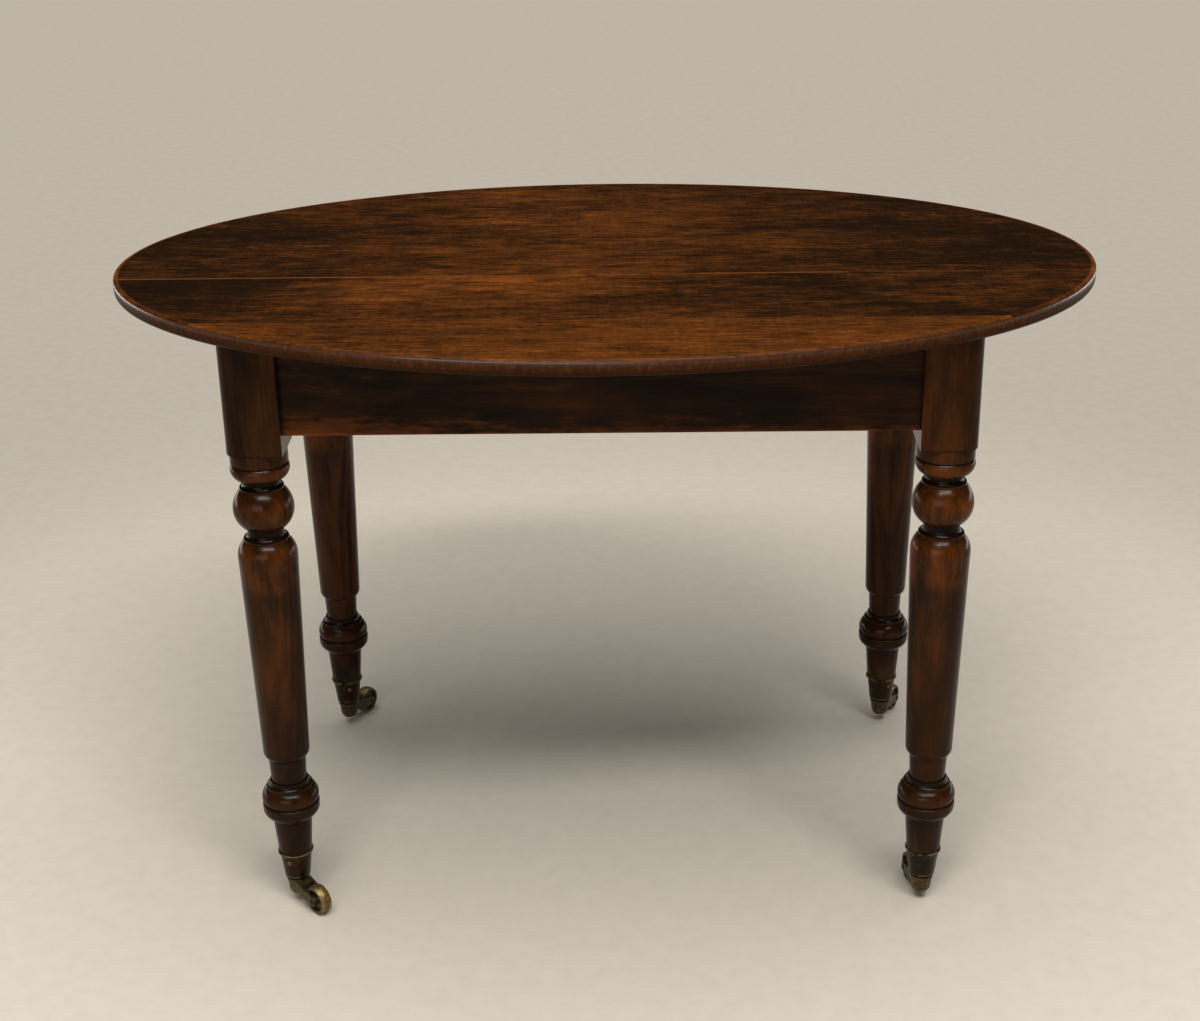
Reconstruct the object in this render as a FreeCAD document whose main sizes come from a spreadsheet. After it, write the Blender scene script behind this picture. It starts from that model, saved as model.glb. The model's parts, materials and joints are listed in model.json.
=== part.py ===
"""Oval kitchen table: a top of three boards on a railed frame, with four turned legs on brass cup castors.

Millimetres, +Z up. The origin is on the floor under the middle of the top, +X runs along the length of
the table and the front is at -Y.
"""
import FreeCAD, Part
import Sketcher
import math
import operator
import os

# Driving dimensions, in millimetres and degrees
SIZES = {
    # Top
    "table_height": 735.0,
    "top_length": 1130.0,
    "top_width": 735.0,
    "top_thickness": 19.0,
    "top_upper_round": 4.0,
    "top_lower_round": 7.0,
    "front_board_width": 132.5,
    "middle_board_width": 168.0,
    # Dowels across the board joints
    "dowel_diameter": 9.0,
    "dowel_length": 60.0,
    "dowel_fit": 0.05,
    "dowel_end_slack": 1.0,
    # Frame
    "end_overhang": 190.5,
    "side_overhang": 152.0,
    "rail_depth": 109.0,
    "rail_thickness": 22.0,
    "rail_setback": 13.0,
    "rail_arris": 1.5,
    "tenon_thickness": 9.0,
    "tenon_lower_shoulder": 6.0,
    "tenon_haunch": 16.0,
    "tenon_fit": 0.1,
    "tenon_end_slack": 0.5,
    "mortise_web": 3.0,
    # Screws that hold the top, in pockets in the rails
    "long_rail_screw_margin": 42.5,
    "short_rail_screw_margin": 73.5,
    "pocket_tilt": 12.0,
    "pocket_depth_below_top": 28.0,
    "pocket_radius": 7.0,
    "top_screw_bite": 12.0,
    "top_screw_radius": 2.3,
    "top_screw_head_radius": 4.4,
    "top_screw_head_height": 2.6,
    "screw_fit": 0.05,
    "screw_end_slack": 0.5,
    # Leg head
    "head_side": 64.0,
    "head_height": 129.0,
    "head_corner_radius": 20.0,
    "head_arris": 1.5,
    # Turning above the shaft, from the head down
    "collar_inset": 0.1,
    "collar_height": 15.0,
    "quirk_height": 1.5,
    "quirk_depth": 2.6,
    "bead_radius": 32.9,
    "bead_fall": 5.5,
    "bead_rise": 14.0,
    "bead_neck_radius": 20.0,
    "bead_neck_height": 2.5,
    "neck_flare_height": 6.0,
    "ball_radius": 34.0,
    "ball_half_height": 24.0,
    "ball_top_radius": 23.5,
    "ball_neck_radius": 20.3,
    "ball_neck_height": 5.0,
    "fillet_step": 1.0,
    "fillet_height": 2.0,
    # Shaft, whose length is what the turnings above and below leave
    "shaft_shoulder_radius": 24.2,
    "shaft_shoulder_height": 20.0,
    "shaft_top_radius": 33.5,
    "shaft_bottom_radius": 26.9,
    "shaft_end_height": 8.5,
    # Turning below the shaft, from the neck down
    "neck_top_radius": 21.8,
    "neck_bottom_radius": 20.5,
    "neck_height": 30.5,
    "cove_radius": 22.3,
    "cove_fillet_height": 1.5,
    "cove_height": 6.0,
    "ring_top_radius": 25.8,
    "upper_ring_fall": 13.5,
    "upper_ring_rise": 5.8,
    "ring_radius": 33.4,
    "ring_groove_depth": 2.0,
    "ring_groove_height": 1.2,
    "lower_ring_fall": 2.0,
    "lower_ring_face": 5.5,
    "lower_ring_rise": 11.0,
    "ring_seat_radius": 26.0,
    "ring_slope_height": 4.0,
    "foot_top_radius": 23.0,
    "foot_bottom_radius": 19.3,
    "foot_height": 48.0,
    "spigot_fit": 0.05,
    "spigot_gap": 1.0,
    # Castor cup
    "cup_height": 33.0,
    "cup_base_radius": 15.1,
    "cup_mouth_radius": 18.4,
    "cup_flare_height": 3.0,
    "cup_wall": 1.7,
    "cup_floor": 4.0,
    "cup_lip_height": 2.0,
    "cup_lip_wall": 1.6,
    "cup_lip_fit": 0.1,
    "cup_screw_height": 23.5,
    "cup_screw_length": 11.0,
    "cup_screw_radius": 1.5,
    "cup_screw_head_radius": 2.6,
    "cup_screw_head_height": 1.4,
    "cup_screw_tip": 3.0,
    "cup_screw_proud": 0.2,
    "cup_screw_turn_front_left": -109.0,
    "cup_screw_turn_front_right": -8.0,
    "cup_screw_turn_rear_left": -73.0,
    "cup_screw_turn_rear_right": -60.0,
    # Swivel
    "pin_radius": 3.6,
    "pin_fit": 0.05,
    "pin_upper_head_radius": 6.5,
    "pin_upper_head_height": 2.0,
    "pin_lower_head_radius": 5.0,
    "pin_lower_head_height": 2.2,
    "pin_head_clearance": 0.3,
    "washer_radius": 9.5,
    "washer_thickness": 1.4,
    "swivel_play": 0.1,
    # Fork
    "trail": 39.5,
    "crown_radius": 13.8,
    "crown_thickness": 4.0,
    "crown_drop": 0.5,
    "crown_round": 1.2,
    "heel_radius": 8.0,
    "heel_level": 12.0,
    "bowl_height": 8.0,
    "bowl_radius": 11.6,
    "bowl_top_radius": 12.8,
    "arm_reach": 12.0,
    "eye_radius": 6.0,
    "arm_thickness": 3.5,
    "arm_round": 0.8,
    "castor_turn_front_left": -45.0,
    "castor_turn_front_right": 99.0,
    "castor_turn_rear_left": 61.0,
    "castor_turn_rear_right": 62.0,
    # Wheel and axle
    "wheel_diameter": 36.0,
    "wheel_width": 13.5,
    "wheel_side_gap": 0.5,
    "wheel_tread_gap": 6.5,
    "tread_crown": 1.5,
    "wheel_rim": 4.5,
    "wheel_web": 5.0,
    "wheel_hub_radius": 5.5,
    "axle_radius": 3.0,
    "axle_fit": 0.05,
    "rivet_radius": 4.2,
    "rivet_height": 1.6,
}

# Corner name, its side along X, its side along Y and the quarter turn of its leg
CORNERS = (
    ("front_left", -1, -1, 180),
    ("front_right", 1, -1, -90),
    ("rear_left", -1, 1, 90),
    ("rear_right", 1, 1, 0),
)

# Rail name and the quarter turn that carries the front rail's place to its own
RAILS = (
    ("rail_front", 0),
    ("rail_right", 90),
    ("rail_rear", 180),
    ("rail_left", 270),
)

OPERATIONS = {"+": operator.add, "-": operator.sub, "*": operator.mul, "/": operator.truediv}
ON_ITS_SIDE = 90
ACROSS = 180


class Size:
    """A size that carries its number and the expression that ties it to the sheet."""

    def __init__(self, number, text=None):
        self.number = float(number)
        self.text = text or repr(self.number)

    def __add__(self, other):
        return combine(self, "+", other)

    def __sub__(self, other):
        return combine(self, "-", other)

    def __rsub__(self, other):
        return combine(other, "-", self)

    def __mul__(self, other):
        return combine(self, "*", other)

    def __rmul__(self, other):
        return combine(other, "*", self)

    def __truediv__(self, other):
        return combine(self, "/", other)

    def __neg__(self):
        return combine(0, "-", self)


def as_size(value):
    """A plain number as a size; a size as it is."""
    if isinstance(value, Size):
        return value
    return Size(value)


def combine(left, sign, right):
    """Two sizes joined by an operation, as a number and as an expression."""
    left = as_size(left)
    right = as_size(right)
    number = OPERATIONS[sign](left.number, right.number)
    return Size(number, "(%s %s %s)" % (left.text, sign, right.text))


def sine(angle):
    """Sine of an angle in degrees."""
    return Size(math.sin(math.radians(angle.number)), "sin(%s)" % angle.text)


def cosine(angle):
    """Cosine of an angle in degrees."""
    return Size(math.cos(math.radians(angle.number)), "cos(%s)" % angle.text)


class Sheet:
    """The driving dimensions, kept in the document's spreadsheet and read by name."""

    def __init__(self, document, values):
        self.cells = document.addObject("Spreadsheet::Sheet", "Sizes")
        for row, (name, value) in enumerate(values.items(), 1):
            cell = "A%d" % row
            self.cells.set(cell, str(value))
            self.cells.setAlias(cell, name)
        document.recompute()

    def __getattr__(self, name):
        return Size(getattr(self.cells, name), "Sizes.%s" % name)


class Outline:
    """A closed outline drawn corner by corner; each corner and each arc's centre follows the sheet."""

    def __init__(self, u, v):
        self.corners = [(as_size(u), as_size(v))]
        self.pins = []

    def line(self, u, v):
        """A straight side to a point."""
        self.corners.append((as_size(u), as_size(v)))
        self.pins.append(None)

    def arc(self, u, v, axis, place):
        """An arc to a point, with one coordinate of its centre given: axis is "u" or "v"."""
        self.corners.append((as_size(u), as_size(v)))
        self.pins.append((axis, as_size(place)))

    def step(self, u):
        """A level side to another radius."""
        self.line(u, self.corners[-1][1])

    def rise(self, height, u=None):
        """A straight side upward, upright or tapering to another radius."""
        last_u, last_v = self.corners[-1]
        self.line(last_u if u is None else u, last_v + height)

    def swell(self, height, u):
        """An arc upward that runs upright at its upper end."""
        upper = self.corners[-1][1] + height
        self.arc(u, upper, "v", upper)

    def round_in(self, height, u):
        """An arc upward that starts upright at its lower end."""
        lower = self.corners[-1][1]
        self.arc(u, lower + height, "v", lower)


def arc_centre(start, end, pin):
    """Centre of the arc between two points when one of its coordinates is given."""
    axis, place = pin
    known = 0 if axis == "u" else 1
    free = 1 - known
    spread = (start[known] - place.number) ** 2 - (end[known] - place.number) ** 2
    spread += start[free] ** 2 - end[free] ** 2
    centre = [place.number, place.number]
    centre[free] = spread / (2 * (start[free] - end[free]))
    return centre


def short_arc(start, end, centre):
    """The shorter arc between two points about a centre, and which of its ends comes first."""
    radius = math.dist(start, centre)
    circle = Part.Circle(FreeCAD.Vector(*centre, 0), FreeCAD.Vector(0, 0, 1), radius)
    first = math.atan2(start[1] - centre[1], start[0] - centre[0])
    last = math.atan2(end[1] - centre[1], end[0] - centre[0])
    if math.sin(last - first) > 0:
        return Part.ArcOfCircle(circle, first, last), (1, 2)
    return Part.ArcOfCircle(circle, last, first), (2, 1)


def coordinate(axis, side, point, size):
    """Constraint that holds one coordinate of a sketch point, and the size that drives it."""
    if size.number == 0:
        return Sketcher.Constraint("PointOnObject", side, point, -2 if axis == "u" else -1), None
    kind = "DistanceX" if axis == "u" else "DistanceY"
    return Sketcher.Constraint(kind, -1, 1, side, point, size.number), size


def draw(body, name, role, outline, lift=0):
    """Sketch of an outline on one of the body's own planes, raised by lift."""
    sketch = body.newObject("Sketcher::SketchObject", name)
    plane = next(item for item in body.Origin.OriginFeatures if item.Role == role)
    sketch.AttachmentSupport = [(plane, "")]
    sketch.MapMode = "FlatFace"
    sketch.setExpression("AttachmentOffset.Base.z", as_size(lift).text)
    points = [(u.number, v.number) for u, v in outline.corners]
    pins = outline.pins + [None]
    count = len(points)
    ends = []
    for side, pin in enumerate(pins):
        start = points[side]
        end = points[(side + 1) % count]
        order = (1, 2)
        if pin is None:
            curve = Part.LineSegment(FreeCAD.Vector(*start, 0), FreeCAD.Vector(*end, 0))
        else:
            curve, order = short_arc(start, end, arc_centre(start, end, pin))
        sketch.addGeometry(curve, False)
        ends.append(order)
    constraints = []
    for side, pin in enumerate(pins):
        following = (side + 1) % count
        join = Sketcher.Constraint("Coincident", side, ends[side][1], following, ends[following][0])
        constraints.append((join, None))
        constraints.append(coordinate("u", side, ends[side][0], outline.corners[side][0]))
        constraints.append(coordinate("v", side, ends[side][0], outline.corners[side][1]))
        if pin is not None:
            constraints.append(coordinate(pin[0], side, 3, pin[1]))
    for index, (constraint, size) in enumerate(constraints):
        sketch.addConstraint(constraint)
        if size is not None:
            sketch.setExpression("Constraints[%d]" % index, size.text)
    return sketch


def place(item, x=0, y=0, z=0, turn=0, tilt=0):
    """Tie an object's placement to the sheet: tilted about X, turned about Z, then shifted."""
    x, y, z, turn, tilt = (as_size(value).text for value in (x, y, z, turn, tilt))
    shift = "create(<<vector>>; %s; %s; %s)" % (x, y, z)
    rotation = "create(<<rotation>>; %s; 0; %s)" % (turn, tilt)
    item.setExpression("Placement", "create(<<placement>>; %s; %s)" % (shift, rotation))


def tie(item, **sizes):
    """Bind properties of an object to the sheet."""
    for name, size in sizes.items():
        item.setExpression(name, as_size(size).text)
    return item


def new_body(name):
    """An empty body."""
    return doc.addObject("PartDesign::Body", name)


def pad(body, sketch, length, side="One side"):
    """A sketch padded to a length, to one side of its plane or to both."""
    feature = body.newObject("PartDesign::Pad", sketch.Name + "_pad")
    feature.Profile = sketch
    feature.SideType = side
    return tie(feature, Length=length)


def turned(name, outline):
    """A body turned about its own Z axis."""
    body = new_body(name)
    sketch = draw(body, name + "_outline", "XZ_Plane", outline)
    feature = body.newObject("PartDesign::Revolution", name + "_turning")
    feature.Profile = sketch
    feature.ReferenceAxis = (sketch, ["V_Axis"])
    feature.Angle = 360
    return body


def block(body, kind, length, width, height, x, y, z):
    """An Additive or Subtractive box in a body, with the middle of its underside at a point."""
    box = body.newObject("PartDesign::%sBox" % kind, "%s_%s_box" % (body.Name, kind.lower()))
    tie(box, Length=length, Width=width, Height=height)
    place(box, x - as_size(length) / 2, y - as_size(width) / 2, z)


def round_edges(body, name, radius, wanted):
    """Fillet the edges of a body's present shape that wanted picks."""
    doc.recompute()
    base = body.Tip
    edges = ["Edge%d" % number for number, edge in enumerate(base.Shape.Edges, 1) if wanted(edge)]
    fillet = body.newObject("PartDesign::Fillet", name)
    fillet.Base = (base, edges)
    tie(fillet, Radius=radius)


def level_at(edge, level):
    """Whether an edge lies level at a height."""
    box = edge.BoundBox
    return box.ZLength < FLAT and abs(box.ZMin - level.number) < FLAT


def rod(name, radius, height, z=0):
    """A loose cylinder on the Z axis, standing on a height."""
    cylinder = tie(doc.addObject("Part::Cylinder", name), Radius=radius, Height=height)
    place(cylinder, 0, 0, z)
    return cylinder


def cone(name, lower_radius, upper_radius, height, z=0):
    """A loose cone on the Z axis, standing on a height."""
    shape = doc.addObject("Part::Cone", name)
    tie(shape, Radius1=lower_radius, Radius2=upper_radius, Height=height)
    place(shape, 0, 0, z)
    return shape


def fuse(name, members):
    """Several shapes as one solid."""
    joined = doc.addObject("Part::MultiFuse", name)
    joined.Shapes = members
    joined.Refine = True
    return joined


def group(name, members):
    """Separate solids under one name."""
    together = doc.addObject("Part::Compound", name)
    together.Links = members
    return together


def common(name, first, second):
    """What two shapes have in common."""
    shared = doc.addObject("Part::Common", name)
    shared.Base = first
    shared.Tool = second
    return shared


def cut(name, base, cutters):
    """A shape with every cutter taken out of it."""
    result = doc.addObject("Part::Cut", name)
    result.Base = base
    result.Tool = group(name + "_cutters", cutters)
    return result


def quarter(turn, x, y):
    """A point carried round the origin by quarter turns."""
    for _ in range(turn // 90):
        x, y = -y, x
    return x, y


doc = FreeCAD.newDocument("KitchenTable")
dim = Sheet(doc, SIZES)
FLAT = 1e-6
nodes = []

# Heights and places that several pieces share
axle_level = dim.wheel_diameter / 2
crown_level = dim.wheel_diameter - dim.crown_drop
crown_underside = crown_level - dim.crown_thickness
cup_level = crown_level + dim.washer_thickness + dim.swivel_play
foot_level = cup_level + dim.cup_height
rail_top = dim.table_height - dim.top_thickness
rail_bottom = rail_top - dim.rail_depth
head_bottom = rail_top - dim.head_height
tenon_axis = dim.head_side / 2 - dim.rail_setback - dim.rail_thickness / 2
tenon_reach = tenon_axis - dim.tenon_thickness / 2 - dim.tenon_fit - dim.tenon_end_slack - dim.mortise_web
tenon_length = dim.head_side / 2 + tenon_reach
tenon_bottom = rail_bottom + dim.tenon_lower_shoulder
tenon_height = dim.rail_depth - dim.tenon_lower_shoulder - dim.tenon_haunch
half_long = dim.top_length / 2 - dim.end_overhang
half_short = dim.top_width / 2 - dim.side_overhang
long_screw_reach = half_long - dim.head_side / 2 - dim.long_rail_screw_margin
short_screw_reach = half_short - dim.head_side / 2 - dim.short_rail_screw_margin
pin_bore = dim.pin_radius + dim.pin_fit
fork_slot = dim.wheel_width + 2 * dim.wheel_side_gap
fork_width = fork_slot + 2 * dim.arm_thickness


# Castor cups and the screws through their walls
cup_outer_run = dim.cup_height - dim.cup_flare_height
cup_slope = (dim.cup_mouth_radius - dim.cup_base_radius) / cup_outer_run
lip_inner = dim.foot_bottom_radius + dim.cup_lip_fit
lip_outer = lip_inner + dim.cup_lip_wall
spigot_end = cup_level + dim.cup_floor + dim.pin_upper_head_height + dim.spigot_gap


def cup_wall_at(height):
    """Outer radius of a cup's tapering wall at a height above its base."""
    return dim.cup_base_radius + cup_slope * height


def cup_bore_at(height):
    """Inner radius of a cup at a height above its base."""
    return cup_wall_at(height) - dim.cup_wall


def cup_screw(name, fit, end_slack):
    """Countersunk wood screw along +Z from the face of its head; a cutter where fit and slack are given."""
    head = cone(name + "_head", dim.cup_screw_head_radius + fit, dim.cup_screw_radius + fit,
                dim.cup_screw_head_height)
    shank_length = dim.cup_screw_length - dim.cup_screw_head_height - dim.cup_screw_tip
    shank = rod(name + "_shank", dim.cup_screw_radius + fit, shank_length, dim.cup_screw_head_height)
    tip = cone(name + "_tip", dim.cup_screw_radius + fit, end_slack, dim.cup_screw_tip + end_slack,
               dim.cup_screw_length - dim.cup_screw_tip)
    return [head, shank, tip]


def cup_screw_cutter(name):
    """The hole for a cup screw, open outward past the face of its head."""
    mouth_depth = 2 * dim.cup_screw_head_height
    mouth = rod(name + "_mouth", dim.cup_screw_head_radius + dim.screw_fit, mouth_depth, -mouth_depth)
    return fuse(name, [mouth] + cup_screw(name, dim.screw_fit, dim.screw_end_slack))


def place_cup_screw(item, leg_x, leg_y, turn):
    """Set a screw in the cup's wall at a turn about the leg, pointing at the leg's axis."""
    reach = cup_wall_at(dim.cup_screw_height) + dim.cup_screw_proud
    place(item, leg_x + reach * cosine(turn), leg_y + reach * sine(turn), cup_level + dim.cup_screw_height,
          turn - ON_ITS_SIDE, ON_ITS_SIDE)


def cup_body(name):
    """Tapering brass cup with a thick floor and a flared lip round the foot of the leg."""
    bore = cup_bore_at(dim.cup_floor)
    outline = Outline(pin_bore, cup_level)
    outline.step(dim.cup_base_radius)
    outline.rise(cup_outer_run, dim.cup_mouth_radius)
    outline.rise(dim.cup_flare_height, lip_outer)
    outline.rise(dim.cup_lip_height)
    outline.step(lip_inner)
    outline.line(lip_inner, foot_level)
    outline.step(cup_bore_at(dim.cup_height))
    outline.line(bore, cup_level + dim.cup_floor)
    outline.step(pin_bore)
    return turned(name, outline)


# Legs
def leg_turning():
    """Half outline of a leg from its spigot to the underside of its square head."""
    shaft_top = (head_bottom - dim.collar_height - dim.quirk_height - dim.bead_fall - dim.bead_rise
                 - dim.bead_neck_height - dim.neck_flare_height - dim.fillet_height
                 - 2 * dim.ball_half_height
                 - dim.ball_neck_height - dim.neck_flare_height - dim.fillet_height
                 - dim.shaft_shoulder_height)
    groove_radius = dim.ring_radius - dim.ring_groove_depth
    quirk_radius = dim.bead_radius - dim.quirk_depth
    outline = Outline(0, spigot_end)
    outline.step(cup_bore_at(spigot_end - cup_level) - dim.spigot_fit)
    outline.line(cup_bore_at(dim.cup_height) - dim.spigot_fit, foot_level)
    outline.step(dim.foot_bottom_radius)
    outline.rise(dim.foot_height, dim.foot_top_radius)
    outline.rise(dim.ring_slope_height, dim.ring_seat_radius)
    outline.swell(dim.lower_ring_rise, dim.ring_radius)
    outline.rise(dim.lower_ring_face)
    outline.round_in(dim.lower_ring_fall, groove_radius)
    outline.rise(dim.ring_groove_height)
    outline.swell(dim.upper_ring_rise, dim.ring_radius)
    outline.round_in(dim.upper_ring_fall, dim.ring_top_radius)
    outline.step(dim.ring_top_radius + dim.fillet_step)
    outline.rise(dim.fillet_height)
    outline.swell(dim.cove_height, dim.cove_radius)
    outline.rise(dim.cove_fillet_height)
    outline.step(dim.neck_bottom_radius)
    outline.rise(dim.neck_height, dim.neck_top_radius)
    outline.swell(dim.shaft_end_height, dim.shaft_bottom_radius)
    outline.line(dim.shaft_top_radius, shaft_top)
    outline.round_in(dim.shaft_shoulder_height, dim.shaft_shoulder_radius)
    outline.step(dim.shaft_shoulder_radius + dim.fillet_step)
    outline.rise(dim.fillet_height)
    outline.step(dim.shaft_shoulder_radius)
    outline.swell(dim.neck_flare_height, dim.ball_neck_radius)
    outline.rise(dim.ball_neck_height)
    outline.swell(dim.ball_half_height, dim.ball_radius)
    outline.round_in(dim.ball_half_height, dim.ball_top_radius)
    outline.step(dim.ball_top_radius + dim.fillet_step)
    outline.rise(dim.fillet_height)
    outline.step(dim.ball_top_radius)
    outline.swell(dim.neck_flare_height, dim.bead_neck_radius)
    outline.rise(dim.bead_neck_height)
    outline.swell(dim.bead_rise, dim.bead_radius)
    outline.round_in(dim.bead_fall, quirk_radius)
    outline.rise(dim.quirk_height)
    outline.step(dim.head_side / 2 - dim.collar_inset)
    outline.rise(dim.collar_height)
    outline.step(0)
    return outline


def head_outline():
    """Square of the leg's head, with its outer corner, at +X +Y, rounded."""
    half = dim.head_side / 2
    arris = half - dim.head_arris
    corner = half - dim.head_corner_radius
    outline = Outline(arris, -half)
    outline.arc(half, -arris, "u", arris)
    outline.line(half, corner)
    outline.arc(corner, half, "u", corner)
    outline.line(-arris, half)
    outline.arc(-half, arris, "u", -arris)
    outline.line(-half, -arris)
    outline.arc(-arris, -half, "u", -arris)
    return outline


def leg_body(name):
    """One leg in its own frame, upright on its axis, with mortises in its -X and -Y faces."""
    body = turned(name, leg_turning())
    head = draw(body, name + "_head", "XY_Plane", head_outline(), head_bottom)
    pad(body, head, dim.head_height)
    depth = tenon_length + dim.tenon_end_slack
    width = dim.tenon_thickness + 2 * dim.tenon_fit
    height = tenon_height + 2 * dim.tenon_fit
    middle = depth / 2 - dim.head_side / 2
    bottom = tenon_bottom - dim.tenon_fit
    block(body, "Subtractive", depth, width, height, middle, tenon_axis, bottom)
    block(body, "Subtractive", width, depth, height, tenon_axis, middle, bottom)
    return body


# Rails and the pocket screws that hold the top to them
def rail_body(name, half_spacing, offset):
    """One rail at the front rail's place, tenoned at both ends."""
    body = new_body(name)
    length = 2 * half_spacing - dim.head_side
    block(body, "Additive", length, dim.rail_thickness, dim.rail_depth, 0, -offset, rail_bottom)
    round_edges(body, name + "_arris", dim.rail_arris, lambda edge: level_at(edge, rail_bottom)
                and edge.BoundBox.XLength > FLAT)
    block(body, "Additive", length + 2 * tenon_length, dim.tenon_thickness, tenon_height,
          0, -offset, tenon_bottom)
    return body


pocket_sine = sine(dim.pocket_tilt)
pocket_cosine = cosine(dim.pocket_tilt)
pocket_lean = dim.pocket_depth_below_top * pocket_sine / pocket_cosine
pocket_run = (dim.rail_thickness / 2 + dim.pocket_radius * pocket_cosine - pocket_lean) / pocket_sine
top_screw_length = dim.pocket_depth_below_top / pocket_cosine + dim.top_screw_bite


def top_screw(name):
    """Round-headed screw along +Z from the seat of its head."""
    head = rod(name + "_head", dim.top_screw_head_radius, dim.top_screw_head_height,
               -dim.top_screw_head_height)
    return fuse(name, [head, rod(name + "_shank", dim.top_screw_radius, top_screw_length)])


def top_screw_cutter(name):
    """The hole for a top screw and the pocket below its head, which runs out of the rail's inner face."""
    run = pocket_run + dim.pocket_radius
    pocket = rod(name + "_pocket", dim.pocket_radius, run, -run)
    length = top_screw_length + dim.screw_end_slack
    return fuse(name, [pocket, rod(name + "_shank", dim.top_screw_radius + dim.screw_fit, length)])


top_screws = []
top_screw_cutters = []
for rail_name, rail_turn in RAILS:
    lengthwise = rail_turn in (0, 180)
    if lengthwise:
        half_spacing = half_long
        rail_offset = half_short + tenon_axis
        screw_places = (-long_screw_reach, Size(0), long_screw_reach)
    else:
        half_spacing = half_short
        rail_offset = half_long + tenon_axis
        screw_places = (-short_screw_reach, short_screw_reach)
    rail_cutters = []
    for number, along in enumerate(screw_places, 1):
        screw_x, screw_y = quarter(rail_turn, along, pocket_lean - rail_offset)
        screw = top_screw("%s_screw_%d" % (rail_name, number))
        cutter = top_screw_cutter("%s_pocket_%d" % (rail_name, number))
        for item in (screw, cutter):
            place(item, screw_x, screw_y, rail_top - dim.pocket_depth_below_top, rail_turn, dim.pocket_tilt)
        top_screws.append(screw)
        rail_cutters.append(cutter)
    rail = rail_body(rail_name + "_bar", half_spacing, rail_offset)
    place(rail, turn=rail_turn)
    nodes.append(cut(rail_name, rail, rail_cutters))
    top_screw_cutters.extend(rail_cutters)
nodes.append(group("top_screws", top_screws))

# Dowels across the two board joints
front_joint = dim.front_board_width - dim.top_width / 2
rear_joint = front_joint + dim.middle_board_width
dowel_level = rail_top + dim.top_thickness / 2


def dowel(name, joint, along, fit, end_slack):
    """A dowel lying across a joint; a cutter where fit and slack are given."""
    length = dim.dowel_length + 2 * end_slack
    peg = tie(doc.addObject("Part::Cylinder", name), Radius=dim.dowel_diameter / 2 + fit, Height=length)
    place(peg, along, joint - length / 2, dowel_level, 0, -ON_ITS_SIDE)
    return peg


dowels = []
dowel_cutters = []
for joint_name, joint in (("front", front_joint), ("rear", rear_joint)):
    for number, quarters in enumerate((-3, -1, 1, 3), 1):
        along = quarters * long_screw_reach / 4
        label = "%s_dowel_%d" % (joint_name, number)
        dowels.append(dowel(label, joint, along, Size(0), Size(0)))
        dowel_cutters.append(dowel(label + "_hole", joint, along, dim.dowel_fit, dim.dowel_end_slack))
nodes.append(group("top_joint_dowels", dowels))


# Boards of the top
def top_body(name):
    """The whole oval top with its rounded edges."""
    body = new_body(name)
    sketch = body.newObject("Sketcher::SketchObject", name + "_oval")
    plane = next(item for item in body.Origin.OriginFeatures if item.Role == "XY_Plane")
    sketch.AttachmentSupport = [(plane, "")]
    sketch.MapMode = "FlatFace"
    sketch.setExpression("AttachmentOffset.Base.z", rail_top.text)
    along = FreeCAD.Vector(dim.top_length.number / 2, 0, 0)
    across = FreeCAD.Vector(0, dim.top_width.number / 2, 0)
    oval = sketch.addGeometry(Part.Ellipse(along, across, FreeCAD.Vector(0, 0, 0)), False)
    sketch.exposeInternalGeometry(oval)
    long_axis = oval + 1
    short_axis = oval + 2
    sketch.addConstraint(Sketcher.Constraint("Coincident", oval, 3, -1, 1))
    sketch.addConstraint(Sketcher.Constraint("Horizontal", long_axis))
    for axis, size in ((long_axis, dim.top_length), (short_axis, dim.top_width)):
        index = sketch.addConstraint(Sketcher.Constraint("Distance", axis, size.number))
        sketch.setExpression("Constraints[%d]" % index, size.text)
    pad(body, sketch, dim.top_thickness)
    upper = dim.table_height
    round_edges(body, name + "_upper_round", dim.top_upper_round, lambda edge: level_at(edge, upper))
    round_edges(body, name + "_lower_round", dim.top_lower_round, lambda edge: level_at(edge, rail_top))
    return body


def strip(name, low, high):
    """The stretch of the width that one board takes up, longer and thicker than the top."""
    overshoot = dim.top_thickness
    box = tie(doc.addObject("Part::Box", name), Length=dim.top_length + 2 * overshoot, Width=high - low,
              Height=dim.top_thickness + 2 * overshoot)
    place(box, -dim.top_length / 2 - overshoot, low, rail_top - overshoot)
    return box


oval = top_body("top_oval")
beyond_edge = dim.top_width / 2 + dim.top_thickness
BOARDS = (
    ("top_board_front", -beyond_edge, front_joint),
    ("top_board_middle", front_joint, rear_joint),
    ("top_board_rear", rear_joint, beyond_edge),
)
for board_name, front_edge, rear_edge in BOARDS:
    board = common(board_name + "_blank", oval, strip(board_name + "_strip", front_edge, rear_edge))
    nodes.append(cut(board_name, board, dowel_cutters + top_screw_cutters))


# Castors
def pin_body(name):
    """Swivel pin, headed over the cup's floor and under the fork's crown."""
    lower_head = crown_underside - dim.swivel_play
    outline = Outline(0, lower_head - dim.pin_lower_head_height)
    outline.step(dim.pin_lower_head_radius)
    outline.rise(dim.pin_lower_head_height)
    outline.step(dim.pin_radius)
    outline.line(dim.pin_radius, cup_level + dim.cup_floor)
    outline.step(dim.pin_upper_head_radius)
    outline.rise(dim.pin_upper_head_height)
    outline.step(0)
    return turned(name, outline)


def washer_body(name):
    """Flat washer between the fork's crown and the cup."""
    outline = Outline(pin_bore, crown_level)
    outline.step(dim.washer_radius)
    outline.rise(dim.washer_thickness)
    outline.step(pin_bore)
    return turned(name, outline)


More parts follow.
